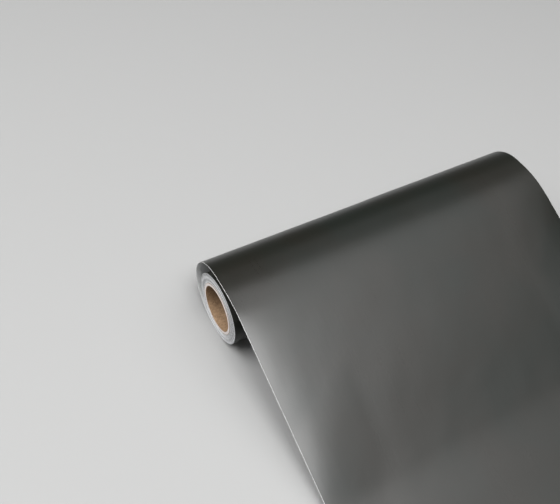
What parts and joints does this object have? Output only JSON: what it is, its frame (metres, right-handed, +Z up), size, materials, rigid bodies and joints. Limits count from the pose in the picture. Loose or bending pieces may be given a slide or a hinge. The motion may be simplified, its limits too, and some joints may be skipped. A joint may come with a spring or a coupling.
{
  "type": "roll of sign vinyl",
  "caption": "Roll of dark self-adhesive sign vinyl on a paper core, its outermost turn loose and the free end drawn out as a sheet.",
  "frame": {"origin": "middle of the underside of the whole part: the roll, its loose turn and the sheet drawn out on the surface", "axes": "+X along the roll and across the sheet, -Y the way the sheet is drawn out, +Z up"},
  "size_m": [0.612, 0.5954, 0.131],
  "materials": {
    "film": "satin",
    "adhesive": "satin",
    "liner": "satin",
    "turns": "matte",
    "kraft": "matte",
    "board": "matte",
    "tape": "satin"
  },
  "bodies": {
    "web": {"vinyl_film": "film", "adhesive_layer": "adhesive", "release_liner": "liner"},
    "roll": {"core_inner_ply": "kraft", "core_body_ply_1": "board", "core_body_ply_2": "board", "core_body_ply_3": "board", "core_body_ply_4": "board", "core_body_ply_5": "board", "core_body_ply_6": "board", "core_outer_ply": "kraft", "starter_tape_near": "tape", "starter_tape_middle": "tape", "starter_tape_far": "tape", "wound_turns_inner": "turns", "wound_turns_lower_middle": "turns", "wound_turns_upper_middle": "turns", "wound_turns_outer": "turns"}
  },
  "joints": [
    {"name": "roll_turn", "type": "hinge", "parent": "web", "child": "roll", "pos_m": [0, 0.22225, 0.05943], "axis": [1, 0, 0], "continuous": true}
  ]
}
